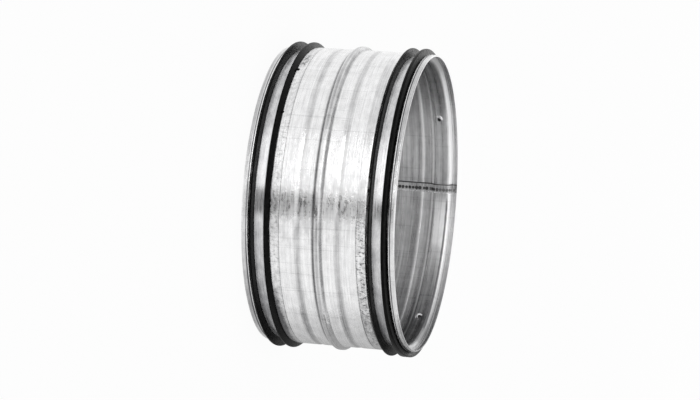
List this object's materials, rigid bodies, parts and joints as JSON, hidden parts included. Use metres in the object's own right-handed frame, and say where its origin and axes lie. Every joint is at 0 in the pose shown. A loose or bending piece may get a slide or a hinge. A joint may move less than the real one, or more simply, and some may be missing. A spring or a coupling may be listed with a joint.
{
  "type": "duct connector",
  "caption": "Round galvanised sheet-steel sleeve with a stop bead round its middle and lipped rubber gaskets near its ends, pushed into round ducts to join them end to end.",
  "frame": {"origin": "centre of the lower end face, on the sleeve's axis, at the lowest point of the part", "axes": "+Z along the sleeve's axis from the lower end to the upper end, +X through the lap seam, +Y completes the right-handed frame"},
  "size_m": [0.1644, 0.1644, 0.08],
  "materials": {
    "zinc_sheet": "galvanised sheet, satin, lightly scuffed and speckled",
    "seal_rubber": "black moulded rubber, satin",
    "band_steel": "plain steel strip, satin"
  },
  "bodies": {
    "root": {"sleeve": "zinc_sheet", "lower_gasket": "seal_rubber", "upper_gasket": "seal_rubber", "lower_band": "band_steel", "upper_band": "band_steel"}
  },
  "joints": []
}
